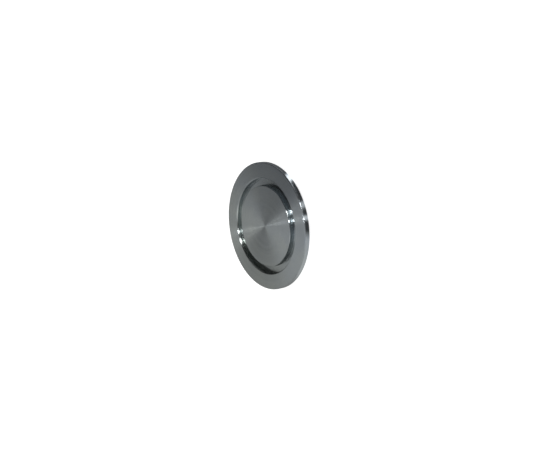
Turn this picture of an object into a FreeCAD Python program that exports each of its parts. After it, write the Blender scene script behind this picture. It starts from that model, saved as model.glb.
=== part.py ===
import FreeCAD, Part
import math
import os

# Blank flange for a small-flange vacuum line, nominal bore 40 mm.
# One solid turned from stainless steel bar: a flat sealing ring and a level centre
# boss with the centring groove between them in front, and a clamp taper behind.
# The axis is +Z. The flange lies on its flat back, with the sealing face up, and the
# origin is the centre of the back face. All lengths are in millimetres.

# Disc
outer_diameter = 55.0
total_height = 5.0
rim_height = 2.3  # from the sealing face down to where the clamp taper would meet the rim
clamp_taper_angle = 15.0  # degrees, between the taper and the sealing face

# Centring groove, open towards the sealing face
groove_outer_diameter = 41.2
groove_inner_diameter = 34.8
groove_depth = 2.5

# Broken edges and corner radii
rim_front_radius = 0.35
rim_back_radius = 0.4
groove_mouth_chamfer = 0.4
boss_edge_chamfer = 0.15
groove_floor_radius = 0.3
back_edge_radius = 0.5

# Sizes that follow from the ones above
rim_radius = outer_diameter / 2
groove_outer_radius = groove_outer_diameter / 2
groove_inner_radius = groove_inner_diameter / 2
groove_floor_height = total_height - groove_depth
taper_height = total_height - rim_height
taper_slope = math.tan(math.radians(clamp_taper_angle))
back_radius = rim_radius - taper_height / taper_slope


def section_point(radius, height):
    """A point of the half section, which is drawn in the XZ plane."""
    return FreeCAD.Vector(radius, 0, height)


def step_towards(start, target, distance):
    """The point at a distance from start on the way to target."""
    way = target - start
    return start + way * (distance / way.Length)


def chamfered_corner(before, corner, after, width):
    """Cuts a corner off the outline by the same width on both sides."""
    return Part.LineSegment(step_towards(corner, before, width), step_towards(corner, after, width))


def rounded_corner(before, corner, after, radius):
    """Rounds a corner of the outline with a tangent arc."""
    half_angle = (before - corner).getAngle(after - corner) / 2
    tangent_length = radius / math.tan(half_angle)
    start = step_towards(corner, before, tangent_length)
    end = step_towards(corner, after, tangent_length)
    bisector = (start + end) * 0.5
    centre = step_towards(corner, bisector, radius / math.sin(half_angle))
    middle = step_towards(centre, corner, radius)
    return Part.Arc(start, middle, end)


def half_section():
    """The closed outline that is turned about the axis, as a face."""
    back_centre = section_point(0, 0)
    back_edge = section_point(back_radius, 0)
    rim_back = section_point(rim_radius, taper_height)
    rim_front = section_point(rim_radius, total_height)
    mouth_edge = section_point(groove_outer_radius, total_height)
    floor_outer = section_point(groove_outer_radius, groove_floor_height)
    floor_inner = section_point(groove_inner_radius, groove_floor_height)
    boss_edge = section_point(groove_inner_radius, total_height)
    boss_centre = section_point(0, total_height)

    corners = [
        rounded_corner(back_centre, back_edge, rim_back, back_edge_radius),
        rounded_corner(back_edge, rim_back, rim_front, rim_back_radius),
        rounded_corner(rim_back, rim_front, mouth_edge, rim_front_radius),
        chamfered_corner(rim_front, mouth_edge, floor_outer, groove_mouth_chamfer),
        rounded_corner(mouth_edge, floor_outer, floor_inner, groove_floor_radius),
        rounded_corner(floor_outer, floor_inner, boss_edge, groove_floor_radius),
        chamfered_corner(floor_inner, boss_edge, boss_centre, boss_edge_chamfer),
    ]

    edges = []
    reached = back_centre
    for corner in corners:
        edges.append(Part.LineSegment(reached, corner.StartPoint).toShape())
        edges.append(corner.toShape())
        reached = corner.EndPoint
    edges.append(Part.LineSegment(reached, boss_centre).toShape())
    edges.append(Part.LineSegment(boss_centre, back_centre).toShape())
    return Part.Face(Part.Wire(edges))


def blank_flange():
    """The whole flange, turned once round its axis."""
    return half_section().revolve(FreeCAD.Vector(0, 0, 0), FreeCAD.Vector(0, 0, 1), 360)


os.makedirs("parts", exist_ok=True)
flange = blank_flange()
flange.exportStep("parts/blank_flange.step")
print("volume", round(flange.Volume, 2), "mm3, valid", flange.isValid())
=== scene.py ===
import math

import bpy
from mathutils import Matrix, Vector


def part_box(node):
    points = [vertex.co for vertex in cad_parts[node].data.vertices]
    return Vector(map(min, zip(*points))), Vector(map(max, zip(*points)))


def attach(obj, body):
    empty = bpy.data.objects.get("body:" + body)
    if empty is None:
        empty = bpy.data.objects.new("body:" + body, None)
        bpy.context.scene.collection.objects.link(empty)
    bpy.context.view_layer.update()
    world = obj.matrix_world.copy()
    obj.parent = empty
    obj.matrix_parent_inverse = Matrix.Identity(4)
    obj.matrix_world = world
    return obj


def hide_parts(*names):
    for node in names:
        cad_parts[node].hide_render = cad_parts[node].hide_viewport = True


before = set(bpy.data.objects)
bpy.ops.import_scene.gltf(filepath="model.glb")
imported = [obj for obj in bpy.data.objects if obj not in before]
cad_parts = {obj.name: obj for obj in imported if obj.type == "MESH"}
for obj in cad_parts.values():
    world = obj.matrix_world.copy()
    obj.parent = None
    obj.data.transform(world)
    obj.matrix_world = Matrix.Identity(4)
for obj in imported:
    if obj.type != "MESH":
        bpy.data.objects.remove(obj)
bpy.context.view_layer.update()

MM = 0.001

# Sizes of the flange, in metres. The disc's own size comes from the frame.
flange_far_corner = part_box("blank_flange")[1]
rim_radius = flange_far_corner.x
total_height = flange_far_corner.z
rim_height = 2.3 * MM
clamp_taper_angle = math.radians(15)
groove_outer_radius = 20.6 * MM
groove_inner_radius = 17.4 * MM
groove_depth = 2.5 * MM
rim_front_radius = 0.35 * MM
rim_back_radius = 0.4 * MM
back_edge_radius = 0.5 * MM
groove_mouth_chamfer = 0.4 * MM
boss_edge_chamfer = 0.15 * MM
groove_floor_radius = 0.3 * MM
burnished_edge_radius = 0.05 * MM

# How finely the section is turned into a mesh
turn_steps = 480
arc_step = math.radians(11)
ring_spacing = 1.5 * MM

# Tool marks: how far apart they are and how deep, in metres
fine_mark_pitch = 0.15 * MM
broad_mark_pitch = 1.1 * MM
face_mark_depth = 0.001 * MM
groove_mark_depth = 0.004 * MM
broad_mark_depth = 0.008 * MM
mark_detail = 2
mark_raggedness = 0.6

# The groove's deeper marks come in between these two depths below the sealing face,
# and fade out between these two distances outside the groove.
groove_marks_from = 0.1 * MM
groove_marks_full = 0.35 * MM
groove_marks_fade_from = 1 * MM
groove_marks_fade_to = 2 * MM

# Gloss: the steel is a little duller where the broad marks stand up. The anisotropy stretches its
# gloss across the marks, with a quarter of a turn to face that way.
steel_roughness = 0.2
broad_mark_dulling = 0.12
steel_anisotropy = 1.0
anisotropy_turn = 0.25

# Painted light in the steel's colour: it goes from a darker bluish grey to a lighter greenish one towards
# this azimuth, as painted brighter reflections on that side
shaded_bluish_steel = (0.475, 0.52, 0.56, 1)
lit_greenish_steel = (0.58, 0.62, 0.595, 1)
lit_side_azimuth = -140
cloud_size = 7 * MM
cloud_detail = 3
cloud_raggedness = 0.55

# The camera, as fitted to the photo. Distances are in metres, and the sensor's width is in millimetres.
photo_width = 540
photo_height = 450
photo_pixels_per_metre = 2335
face_centre_pixel = (264.83, 226.17)
camera_distance = 0.3987
camera_off_axis = math.radians(54.3)
camera_roll = math.radians(99.34)
sensor_width = 36
nearest_seen = 0.01
furthest_seen = 10

# The studio's lights: name, azimuth, elevation, width, height, radiance. Angles are in degrees,
# azimuth 0 is the camera's side, and all the lights are equally far from the flange.
light_distance = 1
studio_lights = (
    ("key_light", 3, 49, 0.07, 0.45, 13.5),
    ("second_light", 31, 51, 0.11, 0.33, 13),
    ("key_streak_light", 178, 70, 0.012, 0.15, 28),
    ("second_streak_light", 161, 70, 0.012, 0.12, 11),
)

# The studio's soft glows: azimuth, elevation, full out to, faded out by, radiance. Angles are in degrees.
# Some are centred below the horizon, so that only their upper part shines.
studio_darkness = 0.012
studio_glows = (
    (-65, 38, 15, 40, 0.4),
    (-45, 40, 0, 22, 0.45),
    (-170, 25, 0, 22, 0.4),
    (-160, 54, 0, 22, 0.65),
    (-115, -10, 30, 52, 0.4),
    (-60, 85, 10, 30, 0.38),
    (10, -25, 35, 65, 0.5),
    (80, -30, 38, 58, 0.6),
    (180, -35, 30, 48, 0.3),
    (125, 35, 10, 55, 0.02),
)

# The pale floor, which shines a little by itself, so that it is as white as the photo's background
disc_corners = 128
floor_radius = 2
floor_colour = (0.8, 0.8, 0.8, 1)
floor_roughness = 0.7
floor_glow = 0.85

# Painted reflections: a glowing disc on the floor that only reflections see, painted as stretches of one
# brightness that the rim mirrors as its highlights and dark bands: from azimuth, to azimuth, radiance.
# It changes evenly from one stretch to the next.
painted_reflection_disc_radius = 0.3
painted_reflection_disc_height = 0.02 * MM
painted_rim_reflection_stretches = (
    (-180, -110, 0.4),
    (-95, -76, 0.28),
    (-57, -20, 0.6),
    (-11, -2, 0.05),
    (0.5, 2.5, 0.9),
    (5, 10.5, 0.05),
    (13.5, 16.5, 0.7),
    (19.5, 42, 0.06),
    (45, 50, 2.2),
    (54, 80, 0.15),
    (105, 180, 0.4),
)


def around(azimuth, elevation, distance):
    """A point seen from the origin at that azimuth and elevation, in degrees."""
    a = math.radians(azimuth)
    e = math.radians(elevation)
    return Vector((math.sin(a) * math.cos(e), -math.cos(a) * math.cos(e), math.sin(e))) * distance


def add_object(name, data):
    """Puts a mesh, light or camera into the scene."""
    added = bpy.data.objects.new(name, data)
    bpy.context.scene.collection.objects.link(added)
    return added


def rounded(before, corner, after, radius):
    """Points and outward normals of the tangent arc that rounds a corner of the section."""
    into = (corner - before).normalized()
    out = (after - corner).normalized()
    turn = out.angle_signed(into)
    outward = Vector((into.y, -into.x))
    reach = math.copysign(radius, turn)
    centre = corner - into * (radius * math.tan(abs(turn) / 2)) - outward * reach
    steps = max(2, math.ceil(abs(turn) / arc_step))
    found = []
    for step in range(steps + 1):
        turned = turn * step / steps
        normal = outward * math.cos(turned) + into * math.sin(turned)
        found.append((centre + normal * reach, normal))
    return found


def section():
    """The half section from the back's centre to the front's: (radius, height) points and their normals."""
    taper_height = total_height - rim_height
    back_radius = rim_radius - taper_height / math.tan(clamp_taper_angle)
    floor_height = total_height - groove_depth
    mouth_radius = groove_outer_radius + groove_mouth_chamfer
    boss_radius = groove_inner_radius - boss_edge_chamfer
    corners = [
        (back_radius, 0, back_edge_radius),
        (rim_radius, taper_height, rim_back_radius),
        (rim_radius, total_height, rim_front_radius),
        (mouth_radius, total_height, burnished_edge_radius),
        (groove_outer_radius, total_height - groove_mouth_chamfer, burnished_edge_radius),
        (groove_outer_radius, floor_height, groove_floor_radius),
        (groove_inner_radius, floor_height, groove_floor_radius),
        (groove_inner_radius, total_height - boss_edge_chamfer, burnished_edge_radius),
        (boss_radius, total_height, burnished_edge_radius),
    ]
    path = [Vector((0, 0)), *(Vector(corner[:2]) for corner in corners), Vector((0, total_height))]
    radii = [corner[2] for corner in corners]
    bends = [rounded(*bend) for bend in zip(path, path[1:], path[2:], radii)]
    points = [(path[0], Vector((0, -1)))]
    for bend in bends + [[(path[-1], Vector((0, 1)))]]:
        reached, normal = points[-1]
        gap = bend[0][0] - reached
        parts = math.ceil(gap.length / ring_spacing)
        for part in range(1, parts):
            points.append((reached + gap * (part / parts), normal))
        points += bend
    return points


def turned_about_axis(point, angle):
    """A (radius, height) point or normal of the section, turned round the Z axis."""
    return (point.x * math.cos(angle), point.x * math.sin(angle), point.y)


def turned_mesh(name, profile):
    """The section turned once round the Z axis, with the section's own normals."""
    rings = profile[1:-1]
    vertices = [(0, 0, profile[0][0].y)]
    normals = [(0, 0, -1)]
    for step in range(turn_steps):
        angle = math.tau * step / turn_steps
        for point, normal in rings:
            vertices.append(turned_about_axis(point, angle))
            normals.append(turned_about_axis(normal, angle))
    vertices.append((0, 0, profile[-1][0].y))
    normals.append((0, 0, 1))

    count = len(rings)
    faces = []
    for step in range(turn_steps):
        here = 1 + step * count
        there = 1 + (step + 1) % turn_steps * count
        faces.append((0, there, here))
        for ring in range(count - 1):
            faces.append((here + ring, there + ring, there + ring + 1, here + ring + 1))
        faces.append((here + count - 1, there + count - 1, len(vertices) - 1))

    mesh = bpy.data.meshes.new(name)
    mesh.from_pydata(vertices, [], faces)
    mesh.shade_smooth()
    mesh.normals_split_custom_set_from_vertices(normals)
    return mesh


def new_material(name):
    """A new material with nodes, and its node tree."""
    material = bpy.data.materials.new(name)
    material.use_nodes = True
    return material, material.node_tree


def node(tree, kind, **inputs):
    """Adds a node and sets its unlinked inputs by name."""
    made = tree.nodes.new(kind)
    for name, value in inputs.items():
        made.inputs[name].default_value = value
    return made


def math_node(tree, operation, first, second=None):
    """A maths node on numbers or other nodes' outputs."""
    made = tree.nodes.new("ShaderNodeMath")
    made.operation = operation
    for index, value in enumerate((first, second)):
        if value is None:
            continue
        if isinstance(value, (int, float)):
            made.inputs[index].default_value = value
        else:
            tree.links.new(value, made.inputs[index])
    return made.outputs[0]


def blended(tree, value, low, high, at_low, at_high):
    """Runs smoothly from at_low to at_high while the value goes from low to high."""
    ends = {"From Min": low, "From Max": high, "To Min": at_low, "To Max": at_high}
    made = node(tree, "ShaderNodeMapRange", **ends)
    made.interpolation_type = "SMOOTHSTEP"
    tree.links.new(value, made.inputs["Value"])
    return made.outputs[0]


def along(tree, place, direction):
    """How far a point lies along a direction."""
    made = node(tree, "ShaderNodeVectorMath")
    made.operation = "DOT_PRODUCT"
    made.inputs[1].default_value = direction
    tree.links.new(place, made.inputs[0])
    return made.outputs["Value"]


def surface_place(tree):
    """The point of the object that is being shaded, and its X, Y and Z."""
    place = tree.nodes.new("ShaderNodeTexCoord").outputs["Object"]
    split = tree.nodes.new("ShaderNodeSeparateXYZ")
    tree.links.new(place, split.inputs[0])
    return place, split.outputs[0], split.outputs[1], split.outputs[2]


def cloud_noise(tree, place, size, detail, raggedness, dimensions):
    """Noise from 0 to 1 whose coarsest clouds have that size, in metres."""
    noise = node(tree, "ShaderNodeTexNoise", Scale=1 / size, Detail=detail, Roughness=raggedness)
    noise.noise_dimensions = dimensions
    tree.links.new(place, noise.inputs["Vector"])
    return noise.outputs["Fac"]


def tool_marks(tree, radius, height, pitch):
    """Noise around zero that only changes across the section, so that every mark runs round the axis."""
    joined = tree.nodes.new("ShaderNodeCombineXYZ")
    tree.links.new(radius, joined.inputs[0])
    tree.links.new(height, joined.inputs[1])
    marks = cloud_noise(tree, joined.outputs[0], pitch, mark_detail, mark_raggedness, "2D")
    return math_node(tree, "SUBTRACT", marks, 0.5)


def depth_of_fine_marks(tree, radius, height):
    """The fine marks' depth: greater in the groove than on the faces and the rim."""
    full_below = total_height - groove_marks_full
    none_above = total_height - groove_marks_from
    below_face = blended(tree, height, full_below, none_above, 1, 0)
    fade_from = groove_outer_radius + groove_marks_fade_from
    fade_to = groove_outer_radius + groove_marks_fade_to
    near_groove = blended(tree, radius, fade_from, fade_to, 1, 0)
    in_groove = math_node(tree, "MULTIPLY", below_face, near_groove)
    return blended(tree, in_groove, 0, 1, face_mark_depth, groove_mark_depth)


def steel_colour_with_painted_light(tree, place):
    """Painted light: goes from the darker bluish grey to the lighter greenish one across the disc, as
    brighter reflections towards that side, with clouds of random tone in it.
    """
    across = math_node(tree, "DIVIDE", along(tree, place, around(lit_side_azimuth, 0, 1)), 2 * rim_radius)
    clouds = cloud_noise(tree, place, cloud_size, cloud_detail, cloud_raggedness, "3D")
    tone = tree.nodes.new("ShaderNodeMix")
    tone.data_type = "RGBA"
    tone.inputs["A"].default_value = shaded_bluish_steel
    tone.inputs["B"].default_value = lit_greenish_steel
    tree.links.new(math_node(tree, "ADD", clouds, across), tone.inputs["Factor"])
    return tone.outputs["Result"]


def turned_steel():
    """Fine-turned stainless steel, with its gloss stretched across the tool marks."""
    material, tree = new_material("turned_steel")
    shader = tree.nodes["Principled BSDF"]
    shader.inputs["Metallic"].default_value = 1
    shader.inputs["Anisotropic"].default_value = steel_anisotropy
    shader.inputs["Anisotropic Rotation"].default_value = anisotropy_turn
    tangent = tree.nodes.new("ShaderNodeTangent")
    tangent.direction_type = "RADIAL"
    tangent.axis = "Z"
    tree.links.new(tangent.outputs[0], shader.inputs["Tangent"])

    place, x, y, height = surface_place(tree)
    squares = math_node(tree, "ADD", math_node(tree, "POWER", x, 2), math_node(tree, "POWER", y, 2))
    radius = math_node(tree, "SQRT", squares)
    fine = tool_marks(tree, radius, height, fine_mark_pitch)
    broad = tool_marks(tree, radius, height, broad_mark_pitch)

    fine_relief = math_node(tree, "MULTIPLY", fine, depth_of_fine_marks(tree, radius, height))
    broad_relief = math_node(tree, "MULTIPLY", broad, broad_mark_depth)
    bump = node(tree, "ShaderNodeBump", Strength=1, Distance=1)
    tree.links.new(math_node(tree, "ADD", fine_relief, broad_relief), bump.inputs["Height"])
    tree.links.new(bump.outputs[0], shader.inputs["Normal"])

    # The base colour carries painted light: the steel is painted lighter and greener towards one side of
    # the disc.
    tree.links.new(steel_colour_with_painted_light(tree, place), shader.inputs["Base Color"])
    dulling = math_node(tree, "MULTIPLY", broad, broad_mark_dulling)
    tree.links.new(math_node(tree, "ADD", dulling, steel_roughness), shader.inputs["Roughness"])
    return material


def make_flange():
    """The flange itself, which stands in for the CAD solid at the same size."""
    flange = add_object("turned_blank_flange", turned_mesh("turned_blank_flange", section()))
    flange.data.materials.append(turned_steel())
    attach(flange, "root")
    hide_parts("blank_flange")


def make_disc(name, radius, height):
    """A flat round sheet that lies level."""
    bpy.ops.mesh.primitive_circle_add(
        vertices=disc_corners,
        radius=radius,
        fill_type="NGON",
        location=(0, 0, height),
    )
    disc = bpy.context.object
    disc.name = name
    return disc


def make_floor():
    """A pale floor, round and wide, that lies under the flange."""
    floor = make_disc("floor", floor_radius, 0)
    pale, tree = new_material("pale_floor")
    shader = tree.nodes["Principled BSDF"]
    shader.inputs["Base Color"].default_value = floor_colour
    shader.inputs["Roughness"].default_value = floor_roughness
    shader.inputs["Emission Color"].default_value = (1, 1, 1, 1)
    shader.inputs["Emission Strength"].default_value = floor_glow
    floor.data.materials.append(pale)


def azimuth_ramp(tree, stretches):
    """A colour that depends on the azimuth alone, from stretches of one brightness."""
    _, x, y, _ = surface_place(tree)
    azimuth = math_node(tree, "ARCTAN2", x, math_node(tree, "MULTIPLY", y, -1))
    share_of_turn = math_node(tree, "ADD", math_node(tree, "DIVIDE", azimuth, math.tau), 0.5)
    ramp = tree.nodes.new("ShaderNodeValToRGB")
    tree.links.new(share_of_turn, ramp.inputs["Fac"])
    ends = [(end, radiance) for start, stop, radiance in stretches for end in (start, stop)]
    stops = ramp.color_ramp.elements
    while len(stops) < len(ends):
        stops.new(0.5)
    for stop, (degrees, radiance) in zip(stops, ends):
        stop.position = degrees / 360 + 0.5
        stop.color = (radiance, radiance, radiance, 1)
    return ramp.outputs["Color"]


def make_painted_reflection_disc():
    """A glowing disc on the floor that only reflections show: painted reflections, the bright highlights
    and dark bands that the rim mirrors.
    """
    disc = make_disc("painted_rim_reflection", painted_reflection_disc_radius, painted_reflection_disc_height)
    material, tree = new_material("painted_rim_reflection")
    tree.nodes.clear()
    # The disc glows with painted reflections, brighter or darker by azimuth, for the rim to mirror.
    glow = tree.nodes.new("ShaderNodeEmission")
    tree.links.new(azimuth_ramp(tree, painted_rim_reflection_stretches), glow.inputs["Color"])
    tree.links.new(glow.outputs[0], tree.nodes.new("ShaderNodeOutputMaterial").inputs["Surface"])
    disc.data.materials.append(material)
    disc.visible_camera = False
    disc.visible_diffuse = False
    disc.visible_shadow = False
    disc.visible_transmission = False


def make_world():
    """A dark studio with large soft glows: most of the light comes from one side."""
    world = bpy.data.worlds.new("studio")
    bpy.context.scene.world = world
    world.use_nodes = True
    tree = world.node_tree
    direction = tree.nodes.new("ShaderNodeTexCoord").outputs["Generated"]
    total = studio_darkness
    for azimuth, elevation, core, reach, radiance in studio_glows:
        nearness = along(tree, direction, around(azimuth, elevation, 1))
        faded_out = math.cos(math.radians(reach))
        full = math.cos(math.radians(core))
        total = math_node(tree, "ADD", blended(tree, nearness, faded_out, full, 0, radiance), total)
    tree.links.new(total, tree.nodes["Background"].inputs["Color"])


def make_light(name, azimuth, elevation, width, height, radiance):
    """A rectangular studio light that faces the flange."""
    data = bpy.data.lights.new(name, "AREA")
    data.shape = "RECTANGLE"
    data.size = width
    data.size_y = height
    data.energy = radiance * math.pi * width * height
    light = add_object(name, data)
    place = around(azimuth, elevation, light_distance)
    light.location = place
    light.rotation_euler = place.to_track_quat("Z", "Y").to_euler()


def make_camera():
    """Looks down on the flange as the photo does, rolled so that the disc stands as it does there."""
    data = bpy.data.cameras.new("camera")
    camera = add_object("camera", data)
    bpy.context.scene.camera = camera
    data.sensor_width = sensor_width
    data.lens = photo_pixels_per_metre * camera_distance * sensor_width / photo_width
    data.shift_x = (photo_width / 2 - face_centre_pixel[0]) / photo_width
    data.shift_y = (face_centre_pixel[1] - photo_height / 2) / photo_width
    data.clip_start = nearest_seen
    data.clip_end = furthest_seen
    elevation = 90 - math.degrees(camera_off_axis)
    target = Vector((0, 0, total_height))
    camera.location = target + around(0, elevation, camera_distance)
    upright = Matrix.Rotation(camera_off_axis, 3, "X")
    camera.rotation_euler = (upright @ Matrix.Rotation(-camera_roll, 3, "Z")).to_euler()


bpy.context.scene.view_settings.view_transform = "Standard"
make_camera()
make_flange()
make_floor()
make_painted_reflection_disc()
make_world()
for light in studio_lights:
    make_light(*light)
